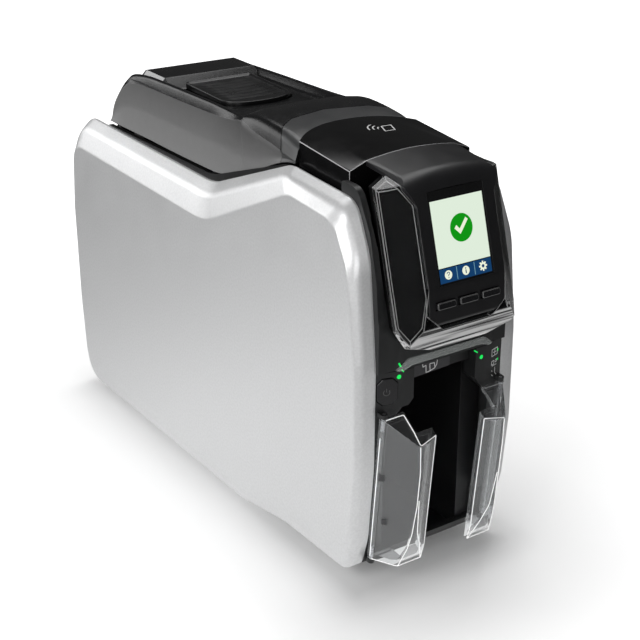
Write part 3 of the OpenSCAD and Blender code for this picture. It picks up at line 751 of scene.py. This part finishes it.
def make_hump():
    """The raised block behind the release plate, with sloping ends in a paler black that paints their
    highlight.
    """
    side = path([(76.0, 256.4, 0), (77.2, 257.2, 1.5), (85.0, 263.6, 1.6), (113.0, 264.3, 5),
                 (121.5, 257.6, 4), (124, 256.4, 0)], 6)
    stations = path([(-HUMP_HALF, 0.0, 0), (-41.0, 0.1, 2), (-35.2, 1.0, 1.6), (35.2, 1.0, 1.6),
                     (41.0, 0.1, 2), (HUMP_HALF, 0.0, 0)], 6)
    shape = Shape()
    ids = []
    for x, share in stations:
        crown = HUMP_CROWN * (1 - (x / HUMP_HALF) ** 2)
        ids.append(shape.row([(x, y, HUMP_FOOT + (z - HUMP_FOOT + crown) * share) for y, z in side]))
    # the sloping ends take the painted highlight
    for (x, _), one, two in zip(stations, ids, ids[1:]):
        shape.join(one, two, kind=0 if -35.6 < x < 34.0 else 1)
    shape.piece("cover_hump", "top_cover", [COVER, HUMP_END_HIGHLIGHT])


RELEASE_HALF, RELEASE_FRONT, RELEASE_REAR, RELEASE_BOW = 26.0, 13.0, 75.0, 14.0
# (inset, height) of its section from the foot over the lip to the dished middle
RELEASE_RIM = [(0.0, -3.0), (0.0, 0.3), (0.12, 0.7), (0.45, 0.95), (0.95, 0.95), (1.4, 0.75),
               (2.2, -0.15), (3.0, -0.35)]
# (along, height, whether it sinks towards the ends) of a rib's section
RIB_SECTION = [(-4.6, -0.1, False), (-3.6, 0.1, True), (-1.6, 0.5, True), (-0.5, 0.7, True),
               (0.0, 0.62, True), (0.5, -0.1, False)]
RIB_COUNT, RIB_FIRST, RIB_STEP, RIB_HALF, RIB_FADE, RIB_BOW = 7, 28.8, 6.2, 21.5, 7.0, 2.4


def make_release():
    """The pressed plate: a raised lip round shallow ribs, its front edge bowed."""
    def lift(y):
        return 257.9 + (y - 14.0) / 62.0 * 3.0

    def plan(inset):
        wide, near, far = RELEASE_HALF - inset, RELEASE_FRONT + inset, RELEASE_REAR - inset
        front = [(wide * math.copysign(1, math.sin(a)) * abs(math.sin(a)) ** 0.8333,
                  near + RELEASE_BOW * (1 - abs(math.cos(a)) ** 0.8333))
                 for a in [math.radians(-90 + 7.5 * k) for k in range(25)]]
        radius = max(0.6, 3.0 - inset)
        rear = bend((wide, 40), (wide, far), (0, far), radius, 6)
        rear += bend((0, far), (-wide, far), (-wide, 40), radius, 6)
        return front + [(p.x, p.y) for p in rear]

    shape = Shape()
    shape.tube([[(x, y, lift(y) + drop) for x, y in plan(inset)] for inset, drop in RELEASE_RIM])
    for k in range(RIB_COUNT):
        rows = []
        for j in range(33):
            x = RIB_HALF * (j / 16 - 1)
            fade = smoothstep((RIB_HALF - abs(x)) / RIB_FADE)
            y = RIB_FIRST + RIB_STEP * k + RIB_BOW * (x / RIB_HALF) ** 2
            z = lift(y) - 0.42
            rows.append([(x, y + back, z + up * (fade if sinks else 1.0))
                         for back, up, sinks in RIB_SECTION])
        shape.tube(rows)
    shape.piece("release_plate_shell", "release_plate", PLATE, replaces=True, sharp=50.0)


make_cover()
make_hump()
make_release()


# ---- display module

PLATE_HALF, PLATE_FRONT, PLATE_REAR, PLATE_FOOT = 43.0, -142.0, -75.0, 243.2
# where the plate has points: shares of its side, from the foot up, and of its top
SIDE_SHARES = [1.0, 0.995, 0.985, 0.97, 0.95, 0.9, 0.7, 0.5, 0.3, 0.1]
TOP_SHARES = [k / 16 - 1 for k in range(33)]
PLATE_ROWS = 36
EDGE_ROUND = 0.6


def crown(x, y, z):
    """The top of the head is crowned across, and flat towards the screen."""
    share = smoothstep((y + 190.0) / 24.0) * smoothstep((z - 236.0) / 14.0)
    side = abs(x)
    if side < 32.0:
        rise = 1.3 - 2.7 * (side / 32.0) ** 2
    else:
        rise = -1.4 + 0.3 * (side - 32.0)
    return (x, y, z + share * rise)


def plate_fold(y):
    """How far from the middle the plate folds down into its slanting side."""
    return 32.0 - 0.13 * (y - PLATE_FRONT)


def plate_height(x, y):
    """The plate over the head: crowned, with a slanting facet along each side."""
    side, back, fold = abs(x), y - PLATE_FRONT, plate_fold(y)
    bow = lerp(2.7, 1.35, min(1.0, back / 49.0))
    height = 263.3 + 0.025 * back
    if side <= fold:
        return height - bow * (side / 32.0) ** 2
    edge = 256.5 + 0.11 * back
    return lerp(height - bow * (fold / 32.0) ** 2, edge, (side - fold) / (PLATE_HALF - fold))


def plate_point(t, top_share, sign, side_share):
    """A point t of the way from the plate's bowed rear edge to its front: at that share of its
    top where sign is 0, or of the side with that sign."""
    y = -108.0
    for _ in range(4):
        fold = plate_fold(y)
        x = top_share * fold if sign == 0 else sign * lerp(fold, PLATE_HALF, side_share)
        y = lerp(PLATE_REAR - 17.0 * (abs(x) / PLATE_HALF) ** 2.6, PLATE_FRONT - 0.05, t)
    z = plate_height(x, y)
    past = abs(x) - PLATE_HALF + EDGE_ROUND
    if past > 0:
        z -= EDGE_ROUND * (1 - math.sqrt(max(0.0, 1 - (past / EDGE_ROUND) ** 2)))
    return (x, y, z)


def make_plate():
    """The plate over the display module, with slanting sides and a bowed rear edge."""
    rows = []
    for j in range(PLATE_ROWS + 1):
        t = j / PLATE_ROWS
        rows.append([plate_point(t, 0.0, -1, share) for share in SIDE_SHARES]
                    + [plate_point(t, share, 0, 0.0) for share in TOP_SHARES]
                    + [plate_point(t, 0.0, 1, share) for share in SIDE_SHARES[::-1]])
    rear = [[(x, y - ahead, z - down) for x, y, z in rows[0]]
            for ahead, down in ((0.0, 9.0), (0.0, 0.5), (0.15, 0.12), (0.6, 0.0))]
    front = [[(x, y + back, z - down) for x, y, z in rows[-1]]
             for back, down in ((0.35, 0.02), (0.1, 0.1), (0.0, 0.4))]
    front.append([(x, y, PLATE_FOOT) for x, y, z in rows[-1]])
    shape = Shape()
    ids = []
    for row in rear + rows[1:-1] + front:
        (left, left_y, _), (right, right_y, _) = row[0], row[-1]
        ids.append(shape.row([(left, left_y, PLATE_FOOT)] + row + [(right, right_y, PLATE_FOOT)]))
    last = len(rows[0]) + 1
    # the rounded side edges and the front edge take the painted highlight
    for number, (one, two) in enumerate(zip(ids, ids[1:])):
        front_edge = number in (len(ids) - 3, len(ids) - 4)
        shape.join(one, two, kind=lambda i, front_edge=front_edge: int(
            front_edge or i in (1, 2, last - 3, last - 2)))
    shape.piece("display_plate", "display_housing", [PLATE_TOP, EDGE_HIGHLIGHT], replaces=True, sharp=14.0)


HEAD_CUTS = (-40, -36, -32, -28, -24, -18, -12, -6, 0, 6, 12, 18, 24, 28, 32, 36, 40)
LIP_HEIGHT = 0.182

make_plate()
soften("display_bezel", 0.45, cuts=HEAD_CUTS, shape=crown)
soften("display_core", 0.5, cuts=HEAD_CUTS, shape=crown, materials=CORE)
# the lens's rounded edges take a painted highlight, and its lower lip a pale painted glow
soften("clear_lens", 0.6, cuts=HEAD_CUTS, shape=crown, edge=FROSTED_HIGHLIGHT, extra=[LIP_GLOW],
       paint=lambda p: 2 if p.center.z < LIP_HEIGHT and p.normal.z < -0.15 else 0)
# a door's rounded edges glow with painted light, and its top takes a painted dark tint
for node in ("door_left", "door_right"):
    soften(node, 0.5, materials=DOOR, edge=RIM_GLOW, extra=[ROOF_SHADE],
           paint=lambda p: 2 if p.normal.z > 0.3 else 0)
# the light bar's rounded edges take a painted highlight
soften("light_bar", 0.6, materials=GUIDE, edge=FROSTED_HIGHLIGHT)
for node, width in {"upper_fascia": 0.8, "lower_fascia": 0.5, "power_button": 0.4,
                    "hopper_liner": 0.5, "rear_panel": 0.4, "chassis": 0.4}.items():
    soften(node, width)
# the keys' rounded edges take the painted highlight
for node in ("soft_key_left", "soft_key_middle", "soft_key_right"):
    soften(node, 0.6, edge=KEY_HIGHLIGHT)


# the foot of a door's hinge line, and the door's lean
DOOR_X, DOOR_Y, DOOR_Z = 43.9, -169.2, 21.2
DOOR_LEAN = math.radians(5.4)
# a door's moulded edges, as (across, out, up, radius) from that foot before it leans
DOOR_EDGES = [
    [(-12.4, -20.5, 86.6, 0), (-12.9, -22.0, 70, 20), (-12.9, -22.1, 46, 20),
     (-11.9, -21.3, 26, 20), (-10.8, -19.7, 15, 20), (-8.2, -15.6, 0.5, 0)],
    [(-14.0, -22.2, 50, 0), (-16.0, -21.3, 26, 20), (-20.2, -19.7, 15, 20), (-25.2, -15.7, 0.6, 0)],
    [(-25.7, -17.3, 88.5, 0), (-25.7, -17.4, 12, 20), (-25.6, -15.6, 0.5, 0)],
    [(1.6, -0.6, 86, 0), (1.6, -0.6, 40, 1), (1.6, -0.6, 2, 0)],
    [(1.2, -1.6, 0.4, 0), (-8.0, -15.4, 0.4, 3), (-25.4, -15.4, 0.4, 0)]]
# the edge of its top, which only the left door shows whole
DOOR_TOP = [(-0.5, -2.0, 98.3, 0), (-13.0, -2.0, 98.3, 1), (-13.1, -12.5, 92.3, 8),
            (-12.6, -20.3, 87.2, 1), (-25.6, -17.4, 89.0, 0)]
BEAD_RADIUS = 0.3


def make_door_beads(name, side, top):
    """The moulded edges of a clear door, as thin beads that glow with painted light: a painted
    highlight.
    """
    lean, rise = math.cos(DOOR_LEAN), math.sin(DOOR_LEAN)
    shape = Shape()
    for line in DOOR_EDGES + [top]:
        shape.bead([Vector((side * (DOOR_X + across), DOOR_Y + out * lean - up * rise,
                            DOOR_Z + out * rise + up * lean))
                    for across, out, up in path(line, 5)], BEAD_RADIUS)
    shape.piece(name + "_edges", name, RIM_GLOW)


make_door_beads("door_left", -1, DOOR_TOP)
make_door_beads("door_right", 1, DOOR_TOP[-2:])


# ---- screen, signs and lights

SCREEN_TILT = math.radians(-16.0)
SCREEN_Y, SCREEN_Z, GLASS_OUT = -188.7, 223.2, 0.66
PICTURE_HALF_WIDTH, PICTURE_HALF_HEIGHT = 18.45, 22.75
BAR_TOP, BAR_MIDDLE = -14.3, -18.6
# the picture's layers: (low, high) over the glass
FIELD, ON_FIELD, ON_DISC, ON_BAR = (0, 0.05), (0.05, 0.1), (0.1, 0.15), (0.1, 0.14)
INK = (0, 0.05)


def on_screen(x, z, lift):
    """A point across, up and out from the middle of the screen."""
    y = GLASS_OUT - lift
    return (x, SCREEN_Y + y * math.cos(SCREEN_TILT) - z * math.sin(SCREEN_TILT),
            SCREEN_Z + y * math.sin(SCREEN_TILT) + z * math.cos(SCREEN_TILT))


def make_picture():
    """What the screen shows: a pale field, a tick in a disc, and a bar with three symbols."""
    shape = Shape()
    pale, green, blue, cream, rule = range(5)
    wide, high, z = PICTURE_HALF_WIDTH, PICTURE_HALF_HEIGHT, BAR_MIDDLE
    question = [(-13.4, z + 0.7), (-13.2, z + 1.3), (-12.4, z + 1.6), (-11.6, z + 1.2),
                (-11.6, z + 0.5), (-12.4, z - 0.1), (-12.4, z - 0.7)]
    tick = [(-3.9, 5.6), (-2.4, 7.3), (-0.3, 4.9), (4.6, 10.6), (6.1, 9.2), (-0.2, 1.9)]
    for flat, layer, kind in [
            (box(-wide, wide, BAR_TOP, high), FIELD, pale),
            (box(-wide, wide, -high, BAR_TOP - 0.5), FIELD, blue),
            (circle(1.0, 5.4, 7.9, 56), ON_FIELD, green),
            (tick, ON_DISC, cream),
            (box(-6.48, -6.12, -22.2, BAR_TOP - 0.8), (0.05, 0.08), rule),
            (box(6.12, 6.48, -22.2, BAR_TOP - 0.8), (0.05, 0.08), rule),
            (circle(-12.4, z, 2.55, 32), ON_FIELD, cream),
            (circle(0.0, z, 2.55, 32), ON_FIELD, cream),
            (gear(12.4, z, 2.9), ON_FIELD, cream),
            (circle(12.4, z, 0.95, 20), ON_BAR, blue),
            (stroke(question, 0.45), ON_BAR, blue),
            (circle(-12.4, z - 1.5, 0.32, 10), ON_BAR, blue),
            (box(-0.35, 0.35, z - 1.6, z + 0.5), ON_BAR, blue),
            (circle(0.0, z + 1.3, 0.42, 10), ON_BAR, blue)]:
        shape.prism(flat, *layer, on_screen, kind)
    shape.piece("screen_picture", "screen_glass",
                [SCREEN, SHOW_GREEN, SHOW_BLUE, SHOW_CREAM, SHOW_RULE])


def draw(shape, points, width, at, closed=False):
    """A printed line: one flat band for each of its stretches."""
    ends = points + points[:1] if closed else points
    for p, q in zip(ends, ends[1:]):
        shape.prism(stroke([p, q], width), *INK, at)


def on_plate(x, y, lift):
    return (x, y, plate_height(x, y) + 0.02 + lift)


def on_fascia(x, z, lift):
    """The fascias' front, which folds back towards the sides."""
    return (x, -179.25 + max(0.0, abs(x) - 31.2) * 0.302 - lift, z)


def on_button(x, z, lift):
    return on_fascia(x, z, lift + 0.75)


def on_lintel(x, z, lift):
    return (x, -173.05 - lift, z)


def make_printed_symbols():
    """A card with waves on the plate, and small signs beside the hopper."""
    shape = Shape()
    draw(shape, [(10.3, -99.4), (17.6, -99.0), (13.7, -108.5), (6.4, -108.8)], 0.75, on_plate, True)
    for reach in (3.4, 6.3, 9.2):
        wave = arc(9.0, -103.6, reach, reach * 1.1, range(104, 184, 10))
        shape.prism(stroke(wave, 0.8), *INK, on_plate)
    for points, width, closed in [
            (box(37.2, 43.0, 136.6, 141.0), 0.5, True),
            ([(38.6, 138.8), (41.8, 138.8)], 0.5, False),
            ([(40.2, 141.0), (40.2, 136.6)], 0.4, False),
            (box(37.4, 39.8, 130.8, 133.2), 0.5, True),
            (circle(41.9, 132.4, 0.9, 10), 0.45, True),
            ([(38.0, 130.0), (42.6, 130.0)], 0.4, False),
            ([(37.6, 127.2), (38.6, 126.2)], 0.5, False),
            ([(41.2, 128.4), (41.2, 124.6), (43.2, 122.8)], 0.5, False),
            ([(37.8, 124.4), (39.4, 123.0)], 0.5, False)]:
        draw(shape, points, width, on_fascia, closed)
    shape.piece("printed_symbols", "display_housing", PALE_INK)


def make_lintel():
    """The plate over the hopper's opening, and the sign on it for how cards go in."""
    shape = Shape()
    shape.prism([(-22.0, 146.5), (8.0, 143.0), (8.0, 137.4), (-22.0, 136.2)], -1.0, 0.3, on_lintel)
    shape.piece("hopper_lintel", "hopper_liner", DARK)
    shape = Shape()
    for points in [
            [(-12.4, 143.6), (-11.2, 144.6), (-1.4, 143.4), (-0.6, 144.8)],
            [(-12.4, 143.6), (-12.0, 141.2), (-9.8, 142.0), (-9.6, 137.2), (-6.6, 137.6)],
            [(-6.6, 137.6), (-7.0, 142.2), (-3.6, 142.0), (-3.0, 138.6), (-6.6, 137.6)],
            [(-1.4, 143.4), (-1.8, 140.2), (-3.4, 138.8)]]:
        draw(shape, points, 0.45, lambda x, z, lift: on_lintel(x, z, lift + 0.32))
    shape.piece("hopper_symbol", "hopper_liner", PALE_INK)


def make_power_symbol():
    """A ring with a gap and an upright line, on the power button."""
    x, z = -40.9, 134.4
    shape = Shape()
    draw(shape, arc(x, z, 1.9, 1.9, range(128, 428, 25)), 0.4, on_button)
    draw(shape, [(x, z + 0.2), (x, z + 2.6)], 0.4, on_button)
    shape.piece("power_symbol", "power_button", FAINT_INK)


def make_door_tabs():
    """Two small dark tabs behind the left door's outer wall."""
    out_x, out_y = -0.84, -0.54
    shape = Shape()
    for x, y, z, wide, high in ((-44.0, -177.6, 80.1, 3.4, 4.0), (-41.7, -178.3, 49.9, 3.2, 3.4)):
        shape.prism(box(-wide / 2, wide / 2, -high / 2, high / 2), -1.6, 0.5,
                    lambda a, b, lift, x=x, y=y, z=z: (
                        x - out_y * a + out_x * lift, y + out_x * a + out_y * lift, z + b))
    shape.piece("door_tabs", "door_left", DARK)


def make_status_lights():
    """Two drops of green light by the hopper, and painted green glints on the edges near them."""
    light = (0.0, 0.3)
    shape = Shape()
    for x, z, r in ((-33.6, 142.9, 1.15), (27.1, 139.7, 1.1)):
        drop = [(a + 0.25 * max(0.0, b - z), b + 0.3 * max(0.0, b - z)) for a, b in circle(x, z, r, 28)]
        shape.prism(drop, *light, on_fascia)
    # painted glints: green strips that glow on the edges near the lights
    for a, b, width in (((-33.8, 151.6), (-32.6, 149.2), 0.9), ((-32.2, 147.4), (-30.8, 145.8), 0.6),
                        ((21.4, 145.4), (24.0, 143.6), 0.7), ((43.4, 139.9), (43.4, 138.5), 0.6),
                        ((43.6, 133.5), (43.6, 132.3), 0.6)):
        shape.prism(stroke([a, b], width), *light, on_fascia)
    shape.piece("status_lights", "status_leds", LED_AND_PAINTED_GLINTS, replaces=True)


make_picture()
make_printed_symbols()
make_lintel()
make_power_symbol()
make_door_tabs()
make_status_lights()


# ---- stage, light and camera

FLOOR_HALF = 4.0
# the floor's own light, by the distance in metres from the object's foot: low close to the foot as a
# painted shadow, white further off
FOOT_HALF = (0.055, 0.17, 0.0)
FLOOR_LIFT_WITH_SHADOW = [(0.0, 0.06), (0.03, 0.312), (0.1, 0.52), (0.3, 0.8), (0.8, 1.0)]
# painted reflection: the floor as shiny surfaces see it glows, brightest beside the object and fading
# with the distance from that place
PAINTED_REFLECTION_FROM = (-0.15, -0.1, 0.0)
PAINTED_REFLECTION = [(0.2, 0.78), (0.45, 0.3), (0.8, 0.02)]
WORLD_LIGHT = 0.05
CAMERA_TURN = math.radians(34.33)
CAMERA_DROP = math.radians(23.40)
CAMERA_AT = Vector((-0.4537, -0.7145, 0.4722))
FOCAL_PIXELS = 1331.0
PHOTO_PIXELS = 640.0
SENSOR = 36.0


def turn_along(obj, at, direction):
    """Puts a lamp or a camera there, looking in that direction."""
    obj.location = at
    obj.rotation_mode = "QUATERNION"
    obj.rotation_quaternion = direction.to_track_quat("-Z", "Y")


def area_lamp(name, at, aim, width, height, watts):
    """A rectangular lamp that looks at aim."""
    data = bpy.data.lights.new(name, "AREA")
    data.shape = "RECTANGLE"
    data.size = width
    data.size_y = height
    data.energy = watts
    turn_along(new_object(name, data), at, Vector(aim) - Vector(at))


def seen_directly(tree, rays):
    """1 for what the camera sees, also through clear plastic, and else 0."""
    seen = add(tree, "Math", operation="MAXIMUM")
    link(rays.outputs["Is Camera Ray"], seen.inputs[0])
    link(rays.outputs["Is Transmission Ray"], seen.inputs[1])
    return seen.outputs[0]


def mix_shaders(tree, share, one, two, surface):
    """Shader one where share is 0 and two where it is 1, on that surface."""
    mix = add(tree, "MixShader")
    for source, socket in zip((share, one, two), mix.inputs):
        link(source, socket)
    link(mix.outputs[0], surface.inputs["Surface"])


def vector_math(tree, operation, vector, value=None):
    """Vector arithmetic, with a fixed second vector where it takes one."""
    node = add(tree, "VectorMath", operation=operation)
    link(vector, node.inputs[0])
    if value:
        node.inputs[1].default_value = value
    return node.outputs["Value" if operation in ("LENGTH", "DISTANCE") else "Vector"]


def make_stage():
    """A pale floor that keeps the shadow, with a painted shadow round the object's foot and a painted
    reflection for shiny surfaces.
    """
    mesh = bpy.data.meshes.new("floor")
    corners = box(-FLOOR_HALF, FLOOR_HALF, -FLOOR_HALF, FLOOR_HALF)
    mesh.from_pydata([(x, y, 0) for x, y in corners], [], [(0, 1, 2, 3)])
    floor = new_object("floor", mesh)
    mat, tree, shader = new_material("floor_white", {
        "Base Color": (0.85, 0.85, 0.85, 1), "Roughness": 0.9, "Specular IOR Level": 0.0,
        "Emission Color": WHITE})
    past = vector_math(tree, "ABSOLUTE", object_place(tree))
    past = vector_math(tree, "SUBTRACT", past, FOOT_HALF)
    past = vector_math(tree, "MAXIMUM", past, (0.0, 0.0, 0.0))
    rays = add(tree, "LightPath")
    # the floor's own light is low at the object's foot: a painted shadow
    lift = add(tree, "Math", operation="MULTIPLY")
    link(seen_directly(tree, rays), lift.inputs[0])
    link(ramp(tree, vector_math(tree, "LENGTH", past), FLOOR_LIFT_WITH_SHADOW), lift.inputs[1])
    link(lift.outputs[0], shader.inputs["Emission Strength"])
    # painted reflection: what shiny surfaces see of the floor is a glow that fades away from the object
    away = vector_math(tree, "DISTANCE", object_place(tree), PAINTED_REFLECTION_FROM)
    painted_reflection = add(tree, "Emission", Strength=1.0)
    link(ramp(tree, away, PAINTED_REFLECTION), painted_reflection.inputs["Color"])
    mix_shaders(tree, rays.outputs["Is Glossy Ray"], shader.outputs[0], painted_reflection.outputs[0],
                tree.nodes["Material Output"])
    mesh.materials.append(mat)


def make_world():
    """A dim studio for the light on the object, and white where the camera looks past it."""
    world = bpy.data.worlds.new("studio")
    bpy.context.scene.world = world
    world.use_nodes = True
    tree = world.node_tree
    dim = tree.nodes["Background"]
    dim.inputs["Color"].default_value = WHITE
    dim.inputs["Strength"].default_value = WORLD_LIGHT
    white = add(tree, "Background", Color=WHITE, Strength=1.0)
    seen = seen_directly(tree, add(tree, "LightPath"))
    mix_shaders(tree, seen, dim.outputs[0], white.outputs[0], tree.nodes["World Output"])


def make_camera():
    """The photo's own view, as it was fitted to the body's edges."""
    data = bpy.data.cameras.new("photo_camera")
    data.sensor_width = SENSOR
    data.lens = FOCAL_PIXELS / PHOTO_PIXELS * SENSOR
    camera = new_object("photo_camera", data)
    turn_along(camera, CAMERA_AT, Vector((
        math.sin(CAMERA_TURN) * math.cos(CAMERA_DROP),
        math.cos(CAMERA_TURN) * math.cos(CAMERA_DROP), -math.sin(CAMERA_DROP))))
    bpy.context.scene.camera = camera


make_stage()
make_world()
make_camera()
area_lamp("overhead", (0.35, 0.45, 1.6), (0, 0, 0.1), 1.1, 1.1, 12)
area_lamp("left_rear", (-1.2, 1.6, 0.75), (0, 0, 0.3), 1.4, 1.1, 12)
area_lamp("left", (-1.3, -0.5, 0.75), (0, 0, 0.12), 0.9, 0.9, 12)
area_lamp("front_fill", (-0.55, -1.35, 0.35), (0, -0.15, 0.12), 0.5, 0.5, 3)
bpy.context.scene.view_settings.view_transform = "Standard"
